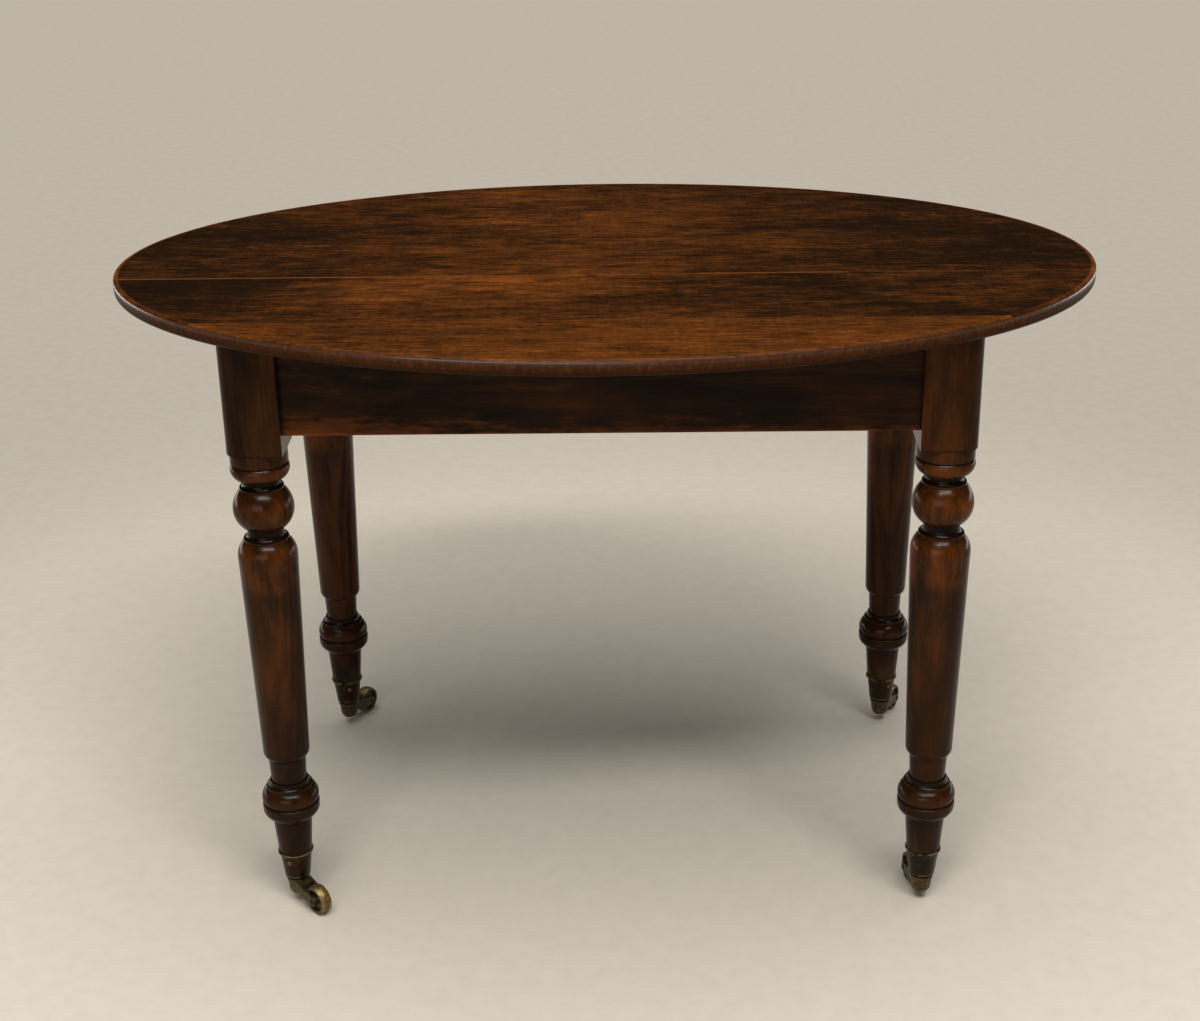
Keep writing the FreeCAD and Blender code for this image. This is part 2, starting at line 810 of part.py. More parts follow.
def fork_arms(name):
    """Block of the fork's two arms, from the pin out to the axle, with rounded outer edges."""
    bowl_level = dim.heel_level + dim.bowl_height
    side = Outline(0, crown_underside)
    side.line(0, bowl_level)
    side.line(dim.trail, axle_level - dim.eye_radius)
    side.arc(dim.trail + dim.eye_radius, axle_level, "u", dim.trail)
    side.arc(dim.trail, axle_level + dim.eye_radius, "u", dim.trail)
    side.line(dim.arm_reach, crown_underside)
    body = new_body(name)
    pad(body, draw(body, name + "_outline", "XZ_Plane", side), fork_width, "Symmetric")
    half_width = fork_width.number / 2

    def outer_edge(edge):
        box = edge.BoundBox
        on_side = box.YLength < FLAT and abs(abs(box.YMin) - half_width) < FLAT
        return on_side and box.XMax > dim.arm_reach.number + FLAT

    round_edges(body, name + "_round", dim.arm_round, outer_edge)
    return body


def fork_bowl(name):
    """Turned part of the fork about the pin: a round heel, a bowl above it and the crown's thin disc."""
    inner = dim.crown_radius - dim.crown_round
    outline = Outline(0, dim.heel_level)
    outline.step(dim.heel_radius)
    outline.swell(dim.bowl_height, dim.bowl_radius)
    outline.line(dim.bowl_top_radius, crown_underside)
    outline.step(dim.crown_radius)
    outline.rise(dim.crown_thickness - dim.crown_round)
    outline.arc(inner, crown_level, "u", inner)
    outline.step(0)
    return turned(name, outline)


def fork_body(name):
    """Horn fork towards +X: a turned bowl under the crown and two arms to the axle."""
    solid = fuse(name + "_solid", [fork_bowl(name + "_bowl"), fork_arms(name + "_arms")])
    slot = rod(name + "_slot", axle_level + dim.wheel_tread_gap, fork_slot)
    place(slot, dim.trail, -fork_slot / 2, axle_level, 0, -ON_ITS_SIDE)
    axle_bore = rod(name + "_axle_bore", dim.axle_radius + dim.axle_fit, fork_width)
    place(axle_bore, dim.trail, -fork_width / 2, axle_level, 0, -ON_ITS_SIDE)
    bore = rod(name + "_bore", pin_bore, crown_level)
    recess = rod(name + "_recess", dim.pin_lower_head_radius + dim.pin_head_clearance, crown_underside)
    return cut(name, solid, [slot, axle_bore, fuse(name + "_pin_bore", [bore, recess])])


def axle_body(name):
    """Riveted axle on its own Z axis, with a domed head outside each arm of the fork."""
    half = fork_width / 2
    outline = Outline(0, -half - dim.rivet_height)
    outline.arc(dim.rivet_radius, -half, "u", 0)
    outline.step(dim.axle_radius)
    outline.rise(fork_width)
    outline.step(dim.rivet_radius)
    outline.arc(0, half + dim.rivet_height, "u", 0)
    return turned(name, outline)


def wheel_body(name):
    """Wheel on its own Z axis: hub, thin web and a rim with a rounded tread."""
    half = dim.wheel_width / 2
    half_web = dim.wheel_web / 2
    bore = dim.axle_radius + dim.axle_fit
    tread_edge = axle_level - dim.tread_crown
    rim_inner = tread_edge - dim.wheel_rim + dim.tread_crown
    outline = Outline(bore, -half)
    outline.step(dim.wheel_hub_radius)
    outline.line(dim.wheel_hub_radius, -half_web)
    outline.step(rim_inner)
    outline.line(rim_inner, -half)
    outline.step(tread_edge)
    outline.arc(axle_level, 0, "v", 0)
    outline.arc(tread_edge, half, "v", 0)
    outline.step(rim_inner)
    outline.line(rim_inner, half_web)
    outline.step(dim.wheel_hub_radius)
    outline.line(dim.wheel_hub_radius, half)
    outline.step(bore)
    return turned(name, outline)


# Makers and names of the pieces set about each swivel pin and about each axle
SWIVEL_PIECES = (
    (pin_body, "swivel_pin_"),
    (washer_body, "swivel_washer_"),
    (fork_body, "castor_fork_"),
)
AXLE_PIECES = (
    (axle_body, "castor_axle_"),
    (wheel_body, "castor_wheel_"),
)

cup_screws = []
for corner, side_x, side_y, leg_turn in CORNERS:
    leg_x = side_x * half_long
    leg_y = side_y * half_short
    screw_turn = getattr(dim, "cup_screw_turn_" + corner)
    castor_turn = getattr(dim, "castor_turn_" + corner)
    cutters = []
    for number, turn in enumerate((screw_turn, screw_turn + ACROSS), 1):
        label = "castor_cup_screw_%s_%d" % (corner, number)
        screw = fuse(label, cup_screw(label, Size(0), Size(0)))
        cutter = cup_screw_cutter(label + "_hole")
        for item in (screw, cutter):
            place_cup_screw(item, leg_x, leg_y, turn)
        cup_screws.append(screw)
        cutters.append(cutter)
    leg = leg_body("leg_%s_turning" % corner)
    place(leg, leg_x, leg_y, turn=leg_turn)
    nodes.append(cut("leg_" + corner, leg, cutters))
    cup = cup_body("castor_cup_%s_shell" % corner)
    place(cup, leg_x, leg_y)
    nodes.append(cut("castor_cup_" + corner, cup, cutters))
    for maker, piece in SWIVEL_PIECES:
        body = maker(piece + corner)
        place(body, leg_x, leg_y, turn=castor_turn)
        nodes.append(body)
    axle_x = leg_x + dim.trail * cosine(castor_turn)
    axle_y = leg_y + dim.trail * sine(castor_turn)
    for maker, piece in AXLE_PIECES:
        body = maker(piece + corner)
        place(body, axle_x, axle_y, axle_level, castor_turn, -ON_ITS_SIDE)
        nodes.append(body)
nodes.append(group("castor_cup_screws", cup_screws))

doc.recompute()
for item in doc.Objects:
    if "Invalid" in item.State or "Error" in item.State:
        raise RuntimeError("%s failed: %s" % (item.Name, item.State))
for node in nodes:
    if node.Shape.isNull() or not node.Shape.isValid():
        raise RuntimeError("%s has no valid shape" % node.Label)

os.makedirs("parts", exist_ok=True)
for node in nodes:
    node.Shape.exportStep("parts/%s.step" % node.Label)
    print("%-28s %2d solid(s) %12.1f mm3" % (node.Label, len(node.Shape.Solids), node.Shape.Volume))
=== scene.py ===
# %% [markdown]
# # An oval kitchen table on brass castors
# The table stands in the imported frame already: three boards, four rails, four turned legs and four castors,
# each at its real size. This lesson gives every one of those pieces the finish of an old stained and
# polished table, lights it softly and looks at it from where the picture was taken.

# %% Load the frame
import bpy
import json
import math
from mathutils import Matrix, Vector


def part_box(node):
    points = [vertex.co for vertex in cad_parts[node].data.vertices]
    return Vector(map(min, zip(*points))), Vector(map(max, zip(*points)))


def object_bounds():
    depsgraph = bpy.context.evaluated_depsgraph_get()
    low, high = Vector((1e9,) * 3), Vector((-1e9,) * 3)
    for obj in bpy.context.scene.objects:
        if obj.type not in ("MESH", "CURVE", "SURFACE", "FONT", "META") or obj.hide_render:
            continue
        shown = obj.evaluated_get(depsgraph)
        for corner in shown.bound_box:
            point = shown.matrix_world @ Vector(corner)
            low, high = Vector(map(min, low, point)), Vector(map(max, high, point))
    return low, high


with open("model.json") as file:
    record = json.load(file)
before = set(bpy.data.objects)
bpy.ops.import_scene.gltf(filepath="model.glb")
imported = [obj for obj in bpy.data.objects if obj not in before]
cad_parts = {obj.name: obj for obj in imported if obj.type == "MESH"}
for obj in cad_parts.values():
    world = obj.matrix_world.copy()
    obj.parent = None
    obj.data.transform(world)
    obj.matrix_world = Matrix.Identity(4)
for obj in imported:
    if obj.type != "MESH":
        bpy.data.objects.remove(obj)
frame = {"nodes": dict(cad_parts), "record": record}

cad_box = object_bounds()
nodes = frame["nodes"]
CORNERS = ("front_left", "front_right", "rear_left", "rear_right")

# %% [markdown]
# ## A small workbench for shader nodes
# Each finish below is a tree of nodes: noise makes the grain, ramps turn the noise into colour, and a few
# sums place wear where hands and feet rub. Such a tree could be wired node by node, but that takes many
# lines. So a small class adds a node, sets its sockets and hands back its output. Sockets take either a plain
# value or another node's output. The class grows in three cells: wiring, then sums, then noise, colour and
# relief.


# %% Wiring
class Wiring:
    """One material under construction: adds nodes and wires them to its surface shader."""

    def __init__(self, name):
        self.material = bpy.data.materials.new(name)
        self.material.use_nodes = True
        self.tree = self.material.node_tree
        self.shader = self.tree.nodes["Principled BSDF"]

    def wire(self, socket, value):
        """Give a socket a plain value or link another node's output to it."""
        if isinstance(value, bpy.types.NodeSocket):
            self.tree.links.new(value, socket)
        else:
            socket.default_value = value

    def node(self, kind, inputs=(), **settings):
        """Add a node, set its options and wire its sockets by number or name."""
        made = self.tree.nodes.new("ShaderNode" + kind)
        for key, value in settings.items():
            setattr(made, key, value)
        for key, value in dict(inputs).items():
            self.wire(made.inputs[key], value)
        return made

    def surface(self, **sockets):
        """Wire the surface shader; a socket's name has underscores for spaces."""
        for key, value in sockets.items():
            self.wire(self.shader.inputs[key.replace("_", " ")], value)
        return self.material


print("wiring ready")


# %% Sums
class Sums(Wiring):
    """Sums on numbers that vary over the surface, and smooth steps between two of them."""

    def math(self, operation, first, second=0.0):
        """One sum."""
        return self.node("Math", {0: first, 1: second}, operation=operation).outputs[0]

    def plus(self, first, second):
        """Two numbers added."""
        return self.math("ADD", first, second)

    def less(self, first, second):
        """The second number taken from the first."""
        return self.math("SUBTRACT", first, second)

    def times(self, first, second):
        """Two numbers multiplied."""
        return self.math("MULTIPLY", first, second)

    def swing(self, value, amount):
        """How far a noise is from its middle, times an amount."""
        return self.times(self.less(value, 0.5), amount)

    def distance(self, first, second):
        """Length of a step of two parts at right angles."""
        return self.math("SQRT", self.plus(self.times(first, first), self.times(second, second)))

    def between(self, value, low, high):
        """A smooth step from 0 at low to 1 at high; falling where low is above high."""
        made = self.node("MapRange", {"Value": value, "From Min": low, "From Max": high, "To Min": 0.0,
                                      "To Max": 1.0}, interpolation_type="SMOOTHSTEP")
        return made.outputs["Result"]

    def band(self, value, low, high, soft):
        """1 from low to high and 0 outside, with soft ends."""
        return self.times(self.between(value, low - soft, low + soft),
                          self.between(value, high + soft, high - soft))

    def spread(self, value, low, high):
        """A number from 0 to 1 spread between two others."""
        made = self.node("MapRange", {"Value": value, "To Min": low, "To Max": high})
        return made.outputs["Result"]


print("sums ready")


# %% Noise, colour and relief
class Finish(Sums):
    """The whole workbench: places, noise, colours and bumps on top of the sums."""

    def place(self):
        """The point being shaded, in metres."""
        return self.node("TexCoord").outputs["Object"]

    def moved(self, vector, shift=(0, 0, 0), turn=(0, 0, 0), scale=(1, 1, 1)):
        """A vector scaled, turned and shifted, in that order."""
        made = self.node("Mapping", {"Vector": vector, "Location": shift, "Rotation": turn, "Scale": scale})
        return made.outputs["Vector"]

    def parts(self, vector):
        """The three parts of a vector."""
        return self.node("SeparateXYZ", {0: vector}).outputs

    def joined(self, first=0.0, second=0.0, third=0.0):
        """Three numbers as a vector."""
        return self.node("CombineXYZ", {0: first, 1: second, 2: third}).outputs[0]

    def noise(self, vector, detail=4.0, roughness=0.55, distortion=0.0):
        """Cloudy noise, about one cloud to each unit of the vector."""
        made = self.node("TexNoise", {"Vector": vector, "Scale": 1.0, "Detail": detail,
                                      "Roughness": roughness, "Distortion": distortion})
        return made.outputs["Fac"]

    def layer(self, vector, scale, *settings, shift=(0, 0, 0)):
        """Noise stretched by three scales, clouds to the metre; settings are the noise's own."""
        return self.noise(self.moved(vector, shift=shift, scale=scale), *settings)

    def mix(self, factor, first, second, amount=1.0):
        """Two colours mixed by a factor that is first cut down to an amount."""
        if amount != 1.0:
            factor = self.times(factor, amount)
        made = self.node("Mix", {"Factor": factor, 6: first, 7: second}, data_type="RGBA")
        return made.outputs[2]

    def ramp(self, value, *stops):
        """A number turned into colour through (place, colour) stops."""
        made = self.node("ValToRGB", {"Fac": value})
        elements = made.color_ramp.elements
        while len(elements) < len(stops):
            elements.new(0.5)
        for element, (spot, shade) in zip(elements, stops):
            element.position = spot
            element.color = shade
        return made.outputs["Color"]

    def bump(self, height, distance, strength, below=None):
        """A bumped normal from a height; distance is in metres."""
        made = self.node("Bump", {"Height": height, "Distance": distance, "Strength": strength})
        if below is not None:
            self.wire(made.inputs["Normal"], below)
        return made.outputs["Normal"]


print("noise, colour and relief ready")


# %% Colours and dressing
def colour(red, green, blue):
    """A screen colour, 0 to 255, as the renderer's linear colour, by the curve that screens share."""
    channels = []
    for value in (red, green, blue):
        part = value / 255
        channels.append(part / 12.92 if part <= 0.04045 else ((part + 0.055) / 1.055) ** 2.4)
    return (*channels, 1.0)


def dress(node_name, material):
    """Give a frame node one material all over."""
    slots = nodes[node_name].data.materials
    slots.clear()
    slots.append(material)


print("workbench ready")

# %% [markdown]
# ## The wood of the top
# The boards are dark stained hardwood under an old polish, and long use has rubbed the stain back to orange
# brown in broken patches. An image could be wrapped over them, but it would stretch at the rim and repeat
# from board to board. So the wood is made of noise, squeezed across the grain, which runs along the table:
# fine fibres, streaks a few centimetres long and slow changes of tone. These are added into one number, how
# worn a spot is, and a ramp turns that number into the stain's colour. A few knots are drawn as rings.

# %% Sizes of the top
LOW, HIGH = (Vector(corner) for corner in cad_box)
TABLE_HEIGHT = HIGH.z
HALF_LENGTH = (HIGH.x - LOW.x) / 2
HALF_WIDTH = (HIGH.y - LOW.y) / 2
REAR_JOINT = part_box("top_board_rear")[0][1]
print("top %.3f x %.3f m, rear joint at y %.3f" % (2 * HALF_LENGTH, 2 * HALF_WIDTH, REAR_JOINT))

# %% Colours of the stain
DARK_STAIN = colour(20, 9, 2)
BROWN_STAIN = colour(40, 19, 3)
WARM_STAIN = colour(60, 30, 6)
RUBBED = colour(82, 42, 10)
RUBBED_BARE = colour(106, 54, 14)
RUBBED_PALE = colour(112, 60, 21)
STAIN_STOPS = ((0.22, DARK_STAIN), (0.44, BROWN_STAIN), (0.60, WARM_STAIN), (0.84, RUBBED),
               (1.0, RUBBED_BARE))
print("stain runs from nearly black to a rubbed orange brown in", len(STAIN_STOPS), "steps")

# %% Knots in the top
# Place along and across the table, and radius of the loop round the knot, in metres
KNOTS = ((-0.457, 0.002, 0.010), (-0.081, -0.008, 0.016), (0.391, 0.186, 0.020))
KNOT_STRETCH = 1.9
KNOT_RIPPLE = 0.022
LOOP_HALF_WIDTH = 0.0012
LOOP_SOFT = 0.0016
HEART_EDGE = (0.0045, 0.0015)


def knots(finish, x, y, ripple):
    """Loops of pale figure round the knots and their dark hearts, both as numbers from 0 to 1."""
    loops = 0.0
    hearts = 0.0
    for knot_x, knot_y, size in KNOTS:
        across = finish.times(finish.less(y, knot_y), KNOT_STRETCH)
        reach = finish.distance(finish.less(x, knot_x), across)
        reach = finish.plus(reach, finish.swing(ripple, KNOT_RIPPLE))
        loop = finish.band(reach, size - LOOP_HALF_WIDTH, size + LOOP_HALF_WIDTH, LOOP_SOFT)
        loops = finish.math("MAXIMUM", loops, loop)
        hearts = finish.math("MAXIMUM", hearts, finish.between(reach, *HEART_EDGE))
    return loops, hearts


print("knots placed:", len(KNOTS))

# %% [markdown]
# ## Seam and rim of the top
# Glue has pulled the rear joint open by a hair, and rubbing has left it as a thin orange line that comes and
# goes. The rounded rim is darker than the face, and darker still below, where painted shade stands for the
# rim curving away from the light, and it has upright ticks where the turned grain was scraped. Its upper
# arris is rubbed to orange, more at the ends and the rear than at the front, and the shoulder below the arris
# has kept its polish. All this could be painted by hand, but a spot's place is enough to say it: its depth
# below the face tells rim and face apart, and how far it lies inside the oval follows from the oval's own
# equation, divided by its slope there.

# %% Seam line
SEAM_EDGE = (0.0020, 0.0008)
SEAM_BREAKS = 14.0
SEAM_LEFT_END = (-0.1, -0.45)


def seam_line(finish, body, x, y):
    """The rubbed line along the rear joint, strongest at the left end."""
    off = finish.math("ABSOLUTE", finish.less(y, REAR_JOINT))
    broken = finish.noise(finish.joined(finish.times(x, SEAM_BREAKS), 0.5, 0.5), 5.0, 0.65)
    left = finish.times(finish.between(x, *SEAM_LEFT_END), 0.14)
    shows = finish.between(finish.plus(broken, left), 0.40, 0.58)
    line = finish.times(finish.between(off, *SEAM_EDGE), shows)
    return finish.mix(line, body, RUBBED_PALE, amount=0.75)


print("seam up to %.1f mm wide" % (2000 * SEAM_EDGE[0]))

# %% Stain of the rim
RIM_STOPS = ((0.28, colour(34, 18, 7)), (0.52, colour(60, 32, 12)), (0.80, colour(90, 52, 25)))
# painted shade that darkens the lower rim, where it curves away from the light
PAINTED_RIM_SHADE = colour(34, 17, 6)
TICKS_AROUND = 110.0
TICKS_UP = 90.0
# Depths below the face at which a part of the rim begins and is whole, in metres
RIM_DEPTHS = (0.0014, 0.0030)
# the painted shade on the lower rim deepens between these two depths
RIM_SHADE_DEPTHS = (0.006, 0.016)


def below_face(finish, z, depths):
    """A smooth step from 0 to 1 between two depths below the face of the top."""
    begins, whole = depths
    return finish.between(z, TABLE_HEIGHT - begins, TABLE_HEIGHT - whole)


def rim_stain(finish, x, y, z):
    """Dark stain with upright ticks, and painted shade that darkens the lower rim where it curves under."""
    turn = finish.math("ARCTAN2", finish.times(y, 1 / HALF_WIDTH), finish.times(x, 1 / HALF_LENGTH))
    unrolled = finish.joined(finish.times(turn, TICKS_AROUND), finish.times(z, TICKS_UP))
    tick = finish.noise(unrolled, 6.0, 0.72, 0.6)
    stain = finish.ramp(tick, *RIM_STOPS)
    # painted shade: the rim darkens towards its lower edge
    return finish.mix(below_face(finish, z, RIM_SHADE_DEPTHS), stain, PAINTED_RIM_SHADE, amount=0.6)


print("rim begins %.1f mm below the face" % (1000 * RIM_DEPTHS[0]))

# %% Rubbed arris
ARRIS_DEPTHS = (0.0026, 0.0012)
ARRIS_INSIDE = (0.0070, 0.0042)
ARRIS_WANDER = 0.006
ARRIS_BREAKS = (26, 26, 26), 7.0, 0.72
FRONT_SIDE = (-0.05, -0.26)


def inside_oval(finish, x, y):
    """How far a spot lies inside the edge of the oval, in metres."""
    reach = finish.distance(finish.times(x, 1 / HALF_LENGTH), finish.times(y, 1 / HALF_WIDTH))
    slope = finish.distance(finish.times(x, 1 / HALF_LENGTH ** 2), finish.times(y, 1 / HALF_WIDTH ** 2))
    return finish.times(finish.less(1.0, reach), finish.math("DIVIDE", reach, slope))


def arris_rub(finish, place):
    """How far the arris is rubbed, from 0 to 1, and least along the front."""
    x, y, z = finish.parts(place)
    broken = finish.layer(place, *ARRIS_BREAKS)
    inside = finish.plus(inside_oval(finish, x, y), finish.swing(broken, ARRIS_WANDER))
    arris = finish.times(finish.between(inside, *ARRIS_INSIDE), below_face(finish, z, ARRIS_DEPTHS))
    shows = finish.less(1.0, finish.times(finish.between(y, *FRONT_SIDE), 0.9))
    shows = finish.times(shows, finish.between(broken, 0.30, 0.62))
    return finish.times(arris, shows)


print("arris rubbed within %.1f mm of the edge" % (1000 * ARRIS_INSIDE[0]))

# %% Grain of the boards
# Scale along, across and through the board, then detail, roughness and distortion of the noise
SWAY = (4, 11, 11), 3.0
SWAY_WIDTH = 0.014
WAVY_LAYERS = {"slow": ((3.0, 8.5, 8.5), 3.0), "patch": ((17, 52, 52), 10.0, 0.72, 0.4),
               "streak": ((15, 230, 230), 5.0, 0.62), "fibre": ((55, 1300, 1300), 3.0, 0.6),
               "dash": ((38, 300, 300), 4.0, 0.6)}
STRAIGHT_LAYERS = {"chatter": ((240, 13, 13), 3.0, 0.6), "blot": ((10, 26, 26), 8.0, 0.68, 0.8),
                   "speck": ((130, 520, 520), 4.0, 0.65)}


def board_layers(finish, place, seed):
    """The layers of noise in a board, by name; most of them sway a little across the grain."""
    shifted = finish.moved(place, shift=(seed * 3.1, seed * 1.7, seed))
    sway = finish.layer(shifted, *SWAY)
    bend = finish.joined(0.0, finish.times(sway, SWAY_WIDTH))
    wavy = finish.node("VectorMath", {0: shifted, 1: bend}, operation="ADD").outputs[0]
    layers = {name: finish.layer(wavy, *settings) for name, settings in WAVY_LAYERS.items()}
    for name, settings in STRAIGHT_LAYERS.items():
        layers[name] = finish.layer(shifted, *settings)
    return layers


print("layers in the grain:", len(WAVY_LAYERS) + len(STRAIGHT_LAYERS))

# %% Stain of the boards
BARE_MIDDLE = -0.07
BARE_REACH = (0.36, 0.06)
MEAN_WEAR = 0.44


def board_stain(finish, layers, x, y, wear, contrast, polished):
    """Stain of a board, worn where its layers add up, with dark fibres, blots and knots."""
    broad = finish.plus(finish.swing(layers["patch"], 1.25 * contrast),
                        finish.swing(layers["slow"], 0.9 * contrast))
    narrow = finish.plus(finish.swing(layers["streak"], 0.75), finish.swing(layers["dash"], 0.85))
    small = finish.plus(finish.swing(layers["chatter"], 0.22), finish.swing(layers["speck"], 0.9))
    worn = finish.plus(finish.plus(broad, narrow), small)
    worn = finish.plus(worn, MEAN_WEAR + wear)
    aside = finish.math("ABSOLUTE", finish.plus(x, -BARE_MIDDLE))
    worn = finish.plus(worn, finish.times(finish.between(aside, *BARE_REACH), polished))
    body = finish.ramp(worn, *STAIN_STOPS)
    body = finish.mix(finish.between(layers["fibre"], 0.46, 0.30), body, DARK_STAIN, amount=0.5)
    body = finish.mix(finish.between(layers["blot"], 0.56, 0.68), body, DARK_STAIN, amount=0.75 * contrast)
    loops, hearts = knots(finish, x, y, layers["patch"])
    body = finish.mix(loops, body, RUBBED, amount=0.75)
    return finish.mix(hearts, body, DARK_STAIN, amount=0.8)


print("stain rubbed most at x %.2f m" % BARE_MIDDLE)

# %% Wood of the boards
FACE_SATIN = 0.035
FACE_ROUGHNESS = (0.28, 0.46)
RIM_POLISH = 0.80
RIM_POLISH_ROUGHNESS = 0.25
SHOULDER_DEPTHS = (0.0085, 0.0040)
BOARD_DENTS = (45, 60, 60), 4.0, 0.6
# Node, seed of its figure, wear, contrast of its patches and how far its middle is polished bare
BOARDS = (("top_board_front", 1.0, 0.26, 0.6, 0.0), ("top_board_middle", 2.3, -0.11, 1.0, 0.39),
          ("top_board_rear", 4.1, -0.04, 1.0, 0.19))


def board_wood(name, seed, wear, contrast, polished):
    """Stained wood of one board, with its seam, rim and polish."""
    finish = Finish(name)
    place = finish.place()
    x, y, z = finish.parts(place)
    layers = board_layers(finish, place, seed)
    body = board_stain(finish, layers, x, y, wear, contrast, polished)
    body = seam_line(finish, body, x, y)
    rim = below_face(finish, z, RIM_DEPTHS)
    body = finish.mix(rim, body, rim_stain(finish, x, y, z))
    body = finish.mix(arris_rub(finish, place), body, RUBBED_PALE, amount=0.8)
    dent = finish.layer(place, *BOARD_DENTS)
    relief = finish.bump(layers["fibre"], 0.0002, 0.25, below=finish.bump(dent, 0.001, 0.12))
    rough = finish.plus(finish.times(layers["streak"], 0.5), finish.times(dent, 0.5))
    shoulder = finish.times(rim, below_face(finish, z, SHOULDER_DEPTHS))
    return finish.surface(Base_Color=body, Roughness=finish.spread(rough, *FACE_ROUGHNESS), Normal=relief,
                          Specular_IOR_Level=FACE_SATIN, Coat_Weight=finish.times(shoulder, RIM_POLISH),
                          Coat_Roughness=RIM_POLISH_ROUGHNESS)


for board, *settings in BOARDS:
    dress(board, board_wood(board + "_wood", *settings))
print("boards finished:", len(BOARDS))

# %% [markdown]
# ## The wood of the frame
# Rails and legs are the same timber, stained darker. A turned leg is cut out of a plank, so the rings of the
# tree show on it as long pointed arches. The arches could be drawn one by one. Here they are real rings about
# a line beside the leg, the tree's heart, tilted a little: where the turning cuts across them, the arches
# appear by themselves, on every side.

# %% Grain of the rails and legs
FRAME_STOPS = ((0.24, colour(20, 9, 2)), (0.52, colour(42, 21, 4)), (0.86, colour(70, 35, 8)))
FRAME_RUBBED = colour(100, 51, 15)
# A ring about every 7 mm, and how far the rings stray
RING_TURNS = 900.0
RING_STRAY = 22.0
# Scale across twice and along the piece, then detail and roughness of the noise
RING_WARP = (14, 14, 3), 4.0
FRAME_FIBRE = (520, 520, 11), 4.0, 0.62
FRAME_CLOUD = (20, 20, 6), 6.0, 0.62
FRAME_RUB = (60, 60, 18), 8.0, 0.68


def frame_grain(finish, seed, heart, turn, figure, wear):
    """Dark stained wood whose rings run about a line beside the piece: its colour, fibre, cloud and rub.

    heart is a point on that line, turn lays the line along the piece, figure is how strongly rings show and
    wear lightens the stain."""
    centred = finish.moved(finish.place(), shift=tuple(-part for part in heart))
    laid = finish.moved(centred, turn=turn)
    across, up, _ = finish.parts(laid)
    warp = finish.layer(laid, *RING_WARP, shift=(seed, seed, seed))
    rings = finish.plus(finish.times(finish.distance(across, up), RING_TURNS), finish.times(warp, RING_STRAY))
    ring = finish.plus(finish.times(finish.math("SINE", rings), 0.5), 0.5)
    fibre = finish.layer(laid, *FRAME_FIBRE, shift=(seed, 0, 0))
    cloud = finish.layer(laid, *FRAME_CLOUD, shift=(0, seed, 0))
    rub = finish.layer(laid, *FRAME_RUB, shift=(0, 0, seed))
    worn = finish.plus(finish.swing(cloud, 1.3), finish.swing(fibre, 0.5))
    worn = finish.plus(worn, finish.plus(finish.swing(rub, 0.5), finish.swing(ring, figure)))
    body = finish.ramp(finish.plus(worn, 0.5 + wear), *FRAME_STOPS)
    return body, fibre, cloud, rub


print("a ring every %.1f mm" % (2000 * math.pi / RING_TURNS))

# %% Polish of the rails and legs
FRAME_SATIN = 0.09
FRAME_ROUGHNESS = (0.10, 0.30)
FRAME_DENTS = (70, 70, 70), 4.0, 0.6


def frame_surface(finish, body, fibre, cloud):
    """Satin polish over the stain."""
    dent = finish.layer(finish.place(), *FRAME_DENTS)
    relief = finish.bump(fibre, 0.0002, 0.25, below=finish.bump(dent, 0.0008, 0.12))
    rough = finish.plus(finish.times(cloud, 0.5), finish.times(dent, 0.5))
    return finish.surface(Base_Color=body, Roughness=finish.spread(rough, *FRAME_ROUGHNESS), Normal=relief,
                          Specular_IOR_Level=FRAME_SATIN)


print("roughness from %.2f to %.2f" % FRAME_ROUGHNESS)

# %% [markdown]
# ## Rails
# The top shades the rails, and painted shade darkens their stain further for that shadow, so they
# look nearly black. Knees and chairs have rubbed their lower edges, most of all towards the left end of
# the table. A mask drawn by hand could place the wear. Here it is a strip above the edge, broken by noise
# that is stretched along the rail, so one rule serves all four rails.

# %% Wood of the rails
RAIL_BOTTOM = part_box("rail_front")[0][2]
RAIL_FIGURE = 0.12
# painted shade: a negative wear that darkens the rails' stain for the shadow of the top
RAIL_PAINTED_SHADE = -0.12
RAIL_STREAKS = (9, 9, 75), 8.0, 0.7
WORN_STRIP = 0.040
WORN_LEFT_END = (-0.05, -0.33)
EDGE_HEIGHTS = (0.0032, 0.0012)


def rail_wood(name, seed, heart, turn):
    """A rail's wood, darkened by painted shade and rubbed along its lower edge."""
    finish = Finish(name)
    # the rails' stain is darkened by painted shade through the wear argument
    body, fibre, cloud, rub = frame_grain(finish, seed, heart, turn, RAIL_FIGURE, RAIL_PAINTED_SHADE)
    x, _, z = finish.parts(finish.place())
    streak = finish.layer(finish.place(), *RAIL_STREAKS)
    near_edge = finish.times(finish.between(z, RAIL_BOTTOM + WORN_STRIP, RAIL_BOTTOM), 0.28)
    near_left = finish.times(finish.between(x, *WORN_LEFT_END), 0.16)
    spots = finish.plus(streak, finish.swing(rub, 0.7))
    patch = finish.between(finish.plus(spots, finish.plus(near_edge, near_left)), 0.70, 1.02)
    body = finish.mix(patch, body, FRAME_RUBBED, amount=0.65)
    edge = finish.between(z, *(RAIL_BOTTOM + height for height in EDGE_HEIGHTS))
    edge = finish.times(edge, finish.between(rub, 0.36, 0.56))
    body = finish.mix(edge, body, RUBBED_PALE, amount=0.6)
    return frame_surface(finish, body, fibre, cloud)


print("rails end %.3f m above the floor" % RAIL_BOTTOM)

# %% Dress the rails
ALONG_X = (0.0, math.radians(88.5), 0.0)
ALONG_Y = (math.radians(88.5), 0.0, 0.0)
HEART_BEHIND = 0.09
HEART_BELOW = 0.03
RAILS = (("rail_front", 1.3, ALONG_X), ("rail_rear", 2.9, ALONG_X), ("rail_left", 5.3, ALONG_Y),
         ("rail_right", 7.7, ALONG_Y))
for rail, seed, turn in RAILS:
    low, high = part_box(rail)
    middle = [(a + b) / 2 for a, b in zip(low, high)]
    heart = (middle[0], middle[1] + HEART_BEHIND, middle[2] - HEART_BELOW)
    dress(rail, rail_wood(rail + "_wood", seed, heart, turn))
print("rails finished:", len(RAILS))
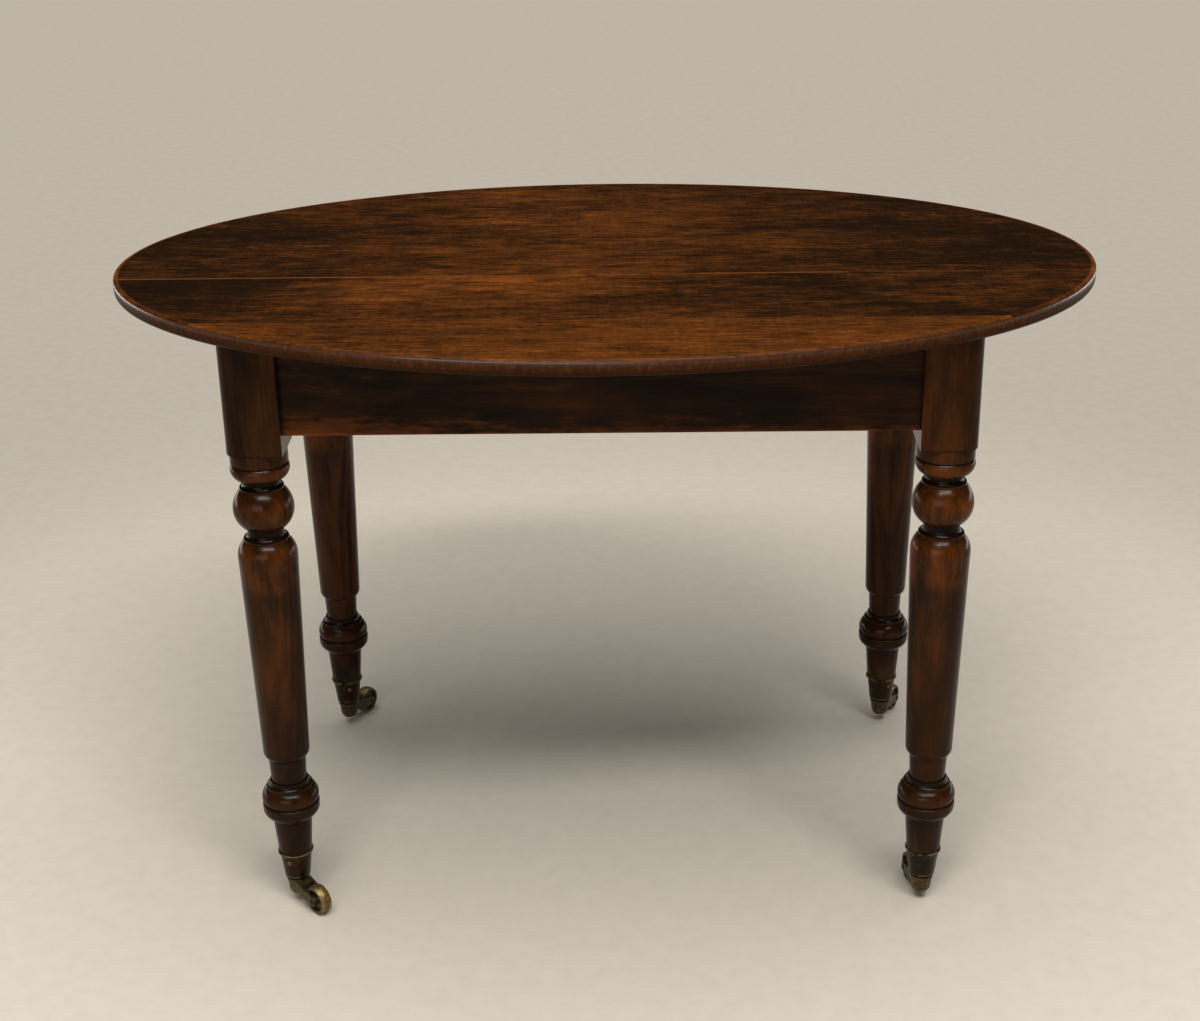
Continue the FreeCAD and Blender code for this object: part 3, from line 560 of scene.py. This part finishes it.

# %% [markdown]
# ## Legs
# The hollows of a turning are darker and cloths rub its proud parts. A shader could look for
# hollows by itself, but that is slow or depends on how the mesh is divided. So a spot's height says which
# moulding it is on, and its distance from the leg's axis whether it lies in the hollow or on the swell:
# hollows are darkened below a given radius and swells get an orange rub above one.

# %% Mouldings of the legs
# Lowest and highest level of each moulding and the radius below or above which it counts, all in metres; for
# a swell also how strongly it is rubbed
HOLLOWS = ((0.5695, 0.5725, 0.0335), (0.5365, 0.5560, 0.0245), (0.4770, 0.4945, 0.0247),
           (0.1595, 0.1720, 0.0262), (0.1400, 0.1425, 0.0333), (0.1175, 0.1225, 0.0260))
SWELLS = ((0.502, 0.528, 0.0300, 0.7), (0.556, 0.566, 0.0310, 0.55), (0.425, 0.474, 0.0290, 0.55),
          (0.144, 0.153, 0.0315, 0.55))
SWELL_SOFT = 0.008
SWELL_EDGE = 0.003
HOLLOW_SOFT = 0.0012
HOLLOW_DARKENING = colour(12, 7, 3)


def turned_wear(finish, body, radius, z, broken):
    """Swells rubbed in broken patches, hollows darkened."""
    for low, high, proud, amount in SWELLS:
        on_swell = finish.times(finish.band(z, low, high, SWELL_SOFT),
                                finish.between(radius, proud - SWELL_EDGE, proud))
        body = finish.mix(finish.times(on_swell, broken), body, FRAME_RUBBED, amount)
    for low, high, deep in HOLLOWS:
        in_hollow = finish.times(finish.band(z, low, high, HOLLOW_SOFT),
                                 finish.between(radius, deep, deep - HOLLOW_SOFT))
        body = finish.mix(in_hollow, body, HOLLOW_DARKENING, amount=0.85)
    return body


print("hollows %d, swells %d" % (len(HOLLOWS), len(SWELLS)))

# %% Wood of the legs
HEAD_BOTTOM = 0.587
# painted shade: the lower leg darkens towards the foot, where less light reaches
FOOT_PAINTED_SHADE, FOOT_SHADE_HEIGHTS = colour(22, 14, 6), (0.34, 0.12)
GRIME, GRIME_HEIGHTS = colour(66, 56, 36), (0.110, 0.072)
LEG_HEART = (0.02, 0.075)


def leg_wood(name, seed, centre, figure, wear):
    """A leg's wood: dark hollows, rubbed swells, painted shade towards the foot and grime at the foot."""
    finish = Finish(name)
    heart = (centre[0] + LEG_HEART[0], centre[1] + LEG_HEART[1], 0.0)
    lean = (math.radians(1.2), math.radians(0.5 * seed - 1.0), 0.0)
    body, fibre, cloud, rub = frame_grain(finish, seed, heart, lean, figure, wear)
    x, y, z = finish.parts(finish.place())
    radius = finish.distance(finish.less(x, centre[0]), finish.less(y, centre[1]))
    broken = finish.between(finish.plus(rub, finish.swing(cloud, 0.5)), 0.32, 0.72)
    body = turned_wear(finish, body, radius, z, broken)
    # a dark line along the lower edge of the head
    shoulder = finish.band(z, HEAD_BOTTOM - 0.0006, HEAD_BOTTOM + 0.0012, 0.0006)
    body = finish.mix(shoulder, body, HOLLOW_DARKENING, amount=0.7)
    # painted shade, darkest at the foot
    body = finish.mix(finish.between(z, *FOOT_SHADE_HEIGHTS), body, FOOT_PAINTED_SHADE, amount=0.6)
    grime = finish.times(finish.between(z, *GRIME_HEIGHTS), finish.between(rub, 0.42, 0.66))
    body = finish.mix(grime, body, GRIME, amount=0.4)
    return frame_surface(finish, body, fibre, cloud)


print("leg heads end %.3f m above the floor" % HEAD_BOTTOM)

# %% Dress the legs
# How strongly the rings show on each leg, and how far its stain is worn
LEG_GRAIN = {"front_left": (0.10, 0.0), "front_right": (0.10, 0.0), "rear_left": (0.36, 0.14),
             "rear_right": (0.18, 0.12)}
for number, corner in enumerate(CORNERS):
    low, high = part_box("leg_" + corner)
    centre = ((low[0] + high[0]) / 2, (low[1] + high[1]) / 2)
    wood = leg_wood("leg_%s_wood" % corner, 2.3 * number + 1.1, centre, *LEG_GRAIN[corner])
    dress("leg_" + corner, wood)
print("legs finished:", len(CORNERS))

# %% [markdown]
# ## Brass and steel
# The castors are cast brass that has gone brown and green. Only what rubs stays yellow: the tread of each
# wheel, the cup's rim and the raised edges. Pins, washers and axles are dark oiled steel. The screws under
# the top are dull steel and those in the cups brass. Each piece could have a tree of its own, but old metal
# is much alike, so shared helpers make its tarnish, bloom and pits, and each piece brings its own colours.


# %% Tarnish and pits
def tarnished(finish, seed):
    """Noise for tarnish, bloom and pits of an old casting."""
    place = finish.moved(finish.place(), shift=(seed, seed, seed))
    tarnish = finish.layer(place, (170, 170, 170), 7.0, 0.68)
    bloom = finish.layer(place, (75, 75, 75), 5.0, 0.6)
    pits = finish.layer(place, (900, 900, 900), 3.0, 0.6)
    return tarnish, bloom, pits


def metal_surface(finish, body, tarnish, pits, smooth, coarse):
    """Pitted metal that is smoother where it is less tarnished."""
    relief = finish.bump(pits, 0.00012, 0.4, below=finish.bump(tarnish, 0.0003, 0.3))
    return finish.surface(Base_Color=body, Metallic=0.85, Roughness=finish.spread(tarnish, coarse, smooth),
                          Normal=relief)


print("tarnish and pits ready")


# %% Pins, washers, axles and screws
def old_metal(name, dull, bright, bloomed, rubbed):
    """Tarnished metal: dull all over, bright where rubbed, with a bloom in places."""
    finish = Finish(name)
    tarnish, bloom, pits = tarnished(finish, 0.0)
    body = finish.mix(finish.between(tarnish, 0.62 - rubbed, 0.76 - rubbed), dull, bright)
    body = finish.mix(finish.between(bloom, 0.52, 0.66), body, bloomed, amount=0.5)
    return metal_surface(finish, body, tarnish, pits, smooth=0.30, coarse=0.58)


PIN_STEEL = old_metal("pin_steel_old", colour(34, 31, 28), colour(84, 78, 68), colour(44, 34, 26), 0.0)
AXLE_STEEL = old_metal("axle_steel_old", colour(52, 47, 38), colour(104, 92, 70), colour(46, 40, 32), 0.02)
SCREW_STEEL = old_metal("top_screw_steel", colour(70, 58, 44), colour(140, 116, 78), colour(60, 46, 34), 0.05)
CUP_SCREWS = old_metal("cup_screw_brass", colour(132, 84, 38), colour(196, 140, 72), colour(84, 56, 30), 0.10)
dress("top_screws", SCREW_STEEL)
dress("castor_cup_screws", CUP_SCREWS)
for corner in CORNERS:
    dress("castor_axle_" + corner, AXLE_STEEL)
    for piece in ("swivel_pin_", "swivel_washer_"):
        dress(piece + corner, PIN_STEEL)
print("axles, pins, washers and screws finished")

# %% [markdown]
# ## Cups, forks and wheels
# A cup is rubbed bright along its rim and its foot, and brown with old polish between, with orange showing
# through in spots. Painted shade darkens the cup and the fork on both sides of the slit between them, which
# the washer keeps open. A wheel is bright on its tread only. Tread and face could be separate materials, but
# the edge between them is soft on a worn wheel. So the distance from the axle tells them apart; the axle's
# place and direction come from the joint that the wheel rolls about.

# %% Cups
CUP_FOOT, CUP_RIM = (corner[2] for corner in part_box("castor_cup_front_left"))
CUP_STOPS = ((0.34, colour(26, 19, 9)), (0.58, colour(46, 34, 15)), (0.76, colour(110, 68, 26)))
CUP_BLOOM = colour(38, 33, 19)
# painted shade at the cup's lower edge, by the slit over the fork
CUP_SLIT_SHADE = colour(14, 11, 7)
FOOT_BRIGHT = colour(132, 112, 72)
RIM_BRIGHT = colour(168, 146, 104)


def cup_brass(name, seed):
    """A cup's brass: bright rim and foot, brown wall with orange spots, painted shade by the slit below."""
    finish = Finish(name)
    tarnish, bloom, pits = tarnished(finish, seed)
    _, _, z = finish.parts(finish.place())
    body = finish.ramp(tarnish, *CUP_STOPS)
    body = finish.mix(finish.between(bloom, 0.48, 0.64), body, CUP_BLOOM, amount=0.6)
    foot = finish.band(z, CUP_FOOT + 0.0014, CUP_FOOT + 0.0026, 0.0006)
    foot = finish.times(foot, finish.between(bloom, 0.36, 0.52))
    body = finish.mix(foot, body, FOOT_BRIGHT, amount=0.7)
    # painted shade along the slit
    body = finish.mix(finish.between(z, CUP_FOOT + 0.0012, CUP_FOOT), body, CUP_SLIT_SHADE, amount=0.9)
    rim = finish.between(z, CUP_RIM - 0.0014, CUP_RIM - 0.0004)
    rim = finish.times(rim, finish.between(bloom, 0.38, 0.54))
    body = finish.mix(rim, body, RIM_BRIGHT, amount=0.75)
    return metal_surface(finish, body, tarnish, pits, smooth=0.28, coarse=0.5)


for number, corner in enumerate(CORNERS):
    dress("castor_cup_" + corner, cup_brass("castor_cup_%s_brass" % corner, 0.31 * number))
print("cups finished:", len(CORNERS))

# %% Forks
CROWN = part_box("castor_fork_front_left")[1][2]
FORK_STOPS = ((0.36, colour(54, 45, 28)), (0.58, colour(88, 75, 48)), (0.74, colour(146, 112, 60)))
FORK_BLOOM = colour(62, 58, 42)
# painted shade at the top of the fork, by the slit under the cup
FORK_SLIT_SHADE = colour(16, 13, 8)


def fork_brass(name, seed):
    """A fork's brass: brown, yellow where it is rubbed, with painted shade along the slit under the cup."""
    finish = Finish(name)
    tarnish, bloom, pits = tarnished(finish, seed)
    _, _, z = finish.parts(finish.place())
    body = finish.ramp(tarnish, *FORK_STOPS)
    body = finish.mix(finish.between(bloom, 0.52, 0.66), body, FORK_BLOOM, amount=0.6)
    # painted shade along the slit
    body = finish.mix(finish.between(z, CROWN - 0.0016, CROWN - 0.0006), body, FORK_SLIT_SHADE, amount=0.9)
    return metal_surface(finish, body, tarnish, pits, smooth=0.30, coarse=0.56)


for number, corner in enumerate(CORNERS):
    dress("castor_fork_" + corner, fork_brass("castor_fork_%s_brass" % corner, 0.59 * number))
print("forks finished:", len(CORNERS))

# %% Wheels
WHEEL_RADIUS = 0.018
TREAD_DEPTHS = (0.0022, 0.0012)
FACE_STOPS = ((0.35, colour(60, 58, 48)), (0.75, colour(112, 104, 80)))
TREAD_STOPS = ((0.36, colour(86, 68, 36)), (0.54, colour(138, 114, 66)), (0.72, colour(186, 164, 114)))
TREAD_BLOOM = colour(84, 74, 48)
ROLLS = {joint["name"]: joint for joint in frame["record"]["behaviour"]["joints"]}


def wheel_brass(name, seed, joint):
    """A wheel's brass: yellow tread, dark faces."""
    finish = Finish(name)
    tarnish, bloom, pits = tarnished(finish, seed)
    from_axle = finish.moved(finish.place(), shift=tuple(-part for part in joint["pos_m"]))
    along = finish.node("VectorMath", {0: from_axle, 1: joint["axis"]}, operation="DOT_PRODUCT")
    along = along.outputs["Value"]
    whole = finish.node("VectorMath", {0: from_axle}, operation="LENGTH").outputs["Value"]
    reach = finish.math("SQRT", finish.less(finish.times(whole, whole), finish.times(along, along)))
    face = finish.ramp(tarnish, *FACE_STOPS)
    tread = finish.ramp(tarnish, *TREAD_STOPS)
    tread = finish.mix(finish.between(bloom, 0.48, 0.64), tread, TREAD_BLOOM, amount=0.6)
    on_tread = finish.between(reach, *(WHEEL_RADIUS - depth for depth in TREAD_DEPTHS))
    body = finish.mix(on_tread, face, tread)
    return metal_surface(finish, body, tarnish, pits, smooth=0.38, coarse=0.62)


for number, corner in enumerate(CORNERS):
    material = wheel_brass("castor_wheel_%s_brass" % corner, 0.47 * number, ROLLS["roll_" + corner])
    dress("castor_wheel_" + corner, material)
print("wheels finished:", len(CORNERS))

# %% [markdown]
# ## Dowels
# The dowels across the board joints are hidden in the top, and could be left plain. But a part seen on its
# own should still look like what it is: pale bare beech with fine fibres along it.

# %% Bare wood of the dowels
DOWEL_FIBRE = (600, 30, 600), 4.0, 0.6
BEECH_STOPS = ((0.3, colour(150, 116, 74)), (0.7, colour(198, 166, 120)))


def bare_wood(name):
    """Pale beech, with fibres along the dowels."""
    finish = Finish(name)
    fibre = finish.layer(finish.place(), *DOWEL_FIBRE)
    relief = finish.bump(fibre, 0.0002, 0.4)
    return finish.surface(Base_Color=finish.ramp(fibre, *BEECH_STOPS),
                          Roughness=finish.spread(fibre, 0.5, 0.7), Normal=relief)


dress("top_joint_dowels", bare_wood("dowel_beech"))
print("dowels finished")

# %% [markdown]
# ## Floor and backdrop
# A wide pale floor carries the table's shadow. The lamps light its middle, and the far floor would turn grey.
# More light would wash the table out, so beyond the table the floor fades to its own pale colour by itself,
# for rays that show it, and the camera sees that colour in the sky too. The sky gives hardly any light.

# %% Finish of the floor
FLOOR_DARK = colour(187, 178, 163)
FLOOR_PALE = colour(193, 184, 169)
FLOOR_CLOUDS = (40, 40, 40), 5.0, 0.6
# Distances from the table's middle at which the fading starts and is whole, in metres
FADE = (0.75, 1.9)


def floor_finish():
    """Pale floor near the table that fades to its own even colour far away."""
    finish = Finish("pale_floor")
    place = finish.place()
    x, y, _ = finish.parts(place)
    cloud = finish.layer(place, *FLOOR_CLOUDS)
    shade = finish.ramp(cloud, (0.3, FLOOR_DARK), (0.7, FLOOR_PALE))
    finish.surface(Base_Color=shade, Roughness=0.85, Specular_IOR_Level=0.2)
    rays = finish.node("LightPath").outputs
    seen = finish.math("MAXIMUM", rays["Is Camera Ray"], rays["Is Glossy Ray"])
    seen = finish.math("MAXIMUM", seen, rays["Is Transmission Ray"])
    far = finish.times(seen, finish.between(finish.distance(x, y), *FADE))
    glow = finish.node("Emission", {"Color": shade, "Strength": 1.0}).outputs[0]
    both = finish.node("MixShader", {0: far, 1: finish.shader.outputs[0], 2: glow}).outputs[0]
    finish.tree.links.new(both, finish.tree.nodes["Material Output"].inputs["Surface"])
    return finish.material


print("floor fades from %.2f to %.2f m" % FADE)

# %% Floor
FLOOR_SIZE = 40.0
bpy.ops.object.select_all(action="DESELECT")
bpy.ops.mesh.primitive_plane_add(size=FLOOR_SIZE, location=(0.0, 0.0, 0.0))
floor = bpy.context.object
floor.name = "studio_floor"
floor.data.materials.append(floor_finish())
print("floor laid, %.0f m wide" % FLOOR_SIZE)

# %% Sky
SKY_COLOUR = (0.84, 0.84, 0.82, 1.0)
SKY_STRENGTH = 0.05
sky = bpy.context.scene.world or bpy.data.worlds.new("studio_sky")
bpy.context.scene.world = sky
sky.use_nodes = True
sky_nodes = sky.node_tree.nodes
sky_light = sky_nodes["Background"]
sky_light.inputs["Color"].default_value = SKY_COLOUR
sky_light.inputs["Strength"].default_value = SKY_STRENGTH
backdrop = sky_nodes.new("ShaderNodeBackground")
backdrop.inputs["Color"].default_value = FLOOR_PALE
sky_rays = sky_nodes.new("ShaderNodeLightPath")
sky_mix = sky_nodes.new("ShaderNodeMixShader")
sky_links = sky.node_tree.links
sky_links.new(sky_rays.outputs["Is Camera Ray"], sky_mix.inputs[0])
sky_links.new(sky_light.outputs[0], sky_mix.inputs[1])
sky_links.new(backdrop.outputs[0], sky_mix.inputs[2])
sky_links.new(sky_mix.outputs[0], sky_nodes["World Output"].inputs["Surface"])
print("sky in place, strength", SKY_STRENGTH)

# %% [markdown]
# ## Lamps
# One bare sun would leave hard shadows and black legs. So a long lamp above the front draws the highlights on
# the turnings, a large soft one hangs overhead, and three weak low ones reach the legs. The two at the sides
# lie below the level of the top, so no sheen of them shows there.


# %% Soft lamps
def soft_lamp(name, place, aim, width, height, watts):
    """A rectangular soft lamp that faces a point and is not seen itself."""
    light = bpy.data.lights.new(name, "AREA")
    light.shape = "RECTANGLE"
    light.size = width
    light.size_y = height
    light.energy = watts
    lamp = bpy.data.objects.new(name, light)
    bpy.context.scene.collection.objects.link(lamp)
    lamp.visible_camera = False
    lamp.location = place
    lamp.rotation_euler = (Vector(aim) - Vector(place)).to_track_quat("-Z", "Y").to_euler()


# Name, place, aim, width, height and watts of each lamp, in metres
LAMPS = (("front_lamp", (0.4, -2.7, 4.4), (0.0, 0.0, 0.4), 3.5, 0.6, 190.0),
         ("overhead_lamp", (0.0, -0.4, 5.0), (0.0, -0.4, 0.0), 5.0, 5.0, 270.0),
         ("fill_lamp", (-1.2, -4.0, 1.6), (0.0, 0.0, 0.4), 3.0, 1.6, 45.0),
         ("left_lamp", (-3.6, 2.0, 0.38), (0.0, 0.0, 0.38), 3.0, 0.6, 20.0),
         ("right_lamp", (3.6, 2.0, 0.38), (0.0, 0.0, 0.38), 3.0, 0.6, 20.0))
for lamp_settings in LAMPS:
    soft_lamp(*lamp_settings)
print("lamps in place:", len(LAMPS))

# %% [markdown]
# ## Camera
# The camera stands where the picture was taken from. It could be moved by eye until the two agree. Here its
# place, its three angles and its lens were worked out from the outline of the top and the four feet, so each
# piece falls on its own place in the picture.

# %% Camera
PICTURE_WIDTH = 1200
FOCAL_PIXELS = 1907.0
SENSOR = 36.0
CAMERA_PLACE = Vector((0.0517, -2.149361, 1.339118))
YAW, PITCH, ROLL = (math.radians(angle) for angle in (-1.593, 23.228, -1.069))
forward = Vector((math.sin(YAW) * math.cos(PITCH), math.cos(YAW) * math.cos(PITCH), -math.sin(PITCH)))
level_right = Vector((math.cos(YAW), -math.sin(YAW), 0.0))
level_up = level_right.cross(forward)
right = level_right * math.cos(ROLL) + level_up * math.sin(ROLL)
up = level_up * math.cos(ROLL) - level_right * math.sin(ROLL)
lens = bpy.data.cameras.new("picture_camera")
lens.sensor_fit = "HORIZONTAL"
lens.sensor_width = SENSOR
lens.lens = SENSOR * FOCAL_PIXELS / PICTURE_WIDTH
camera = bpy.data.objects.new("picture_camera", lens)
bpy.context.scene.collection.objects.link(camera)
turned = Matrix((right, up, -forward)).transposed().to_4x4()
camera.matrix_world = Matrix.Translation(CAMERA_PLACE) @ turned
bpy.context.scene.camera = camera
bpy.context.scene.view_settings.view_transform = "Standard"
print("camera with a %.1f mm lens" % lens.lens)

# %% [markdown]
# ## Measure and finish
# The dressed table must be the size of the imported one, whose box was measured when the frame was loaded.
# At the end the scene is brought up to date.

# %% Finish
bpy.context.view_layer.update()
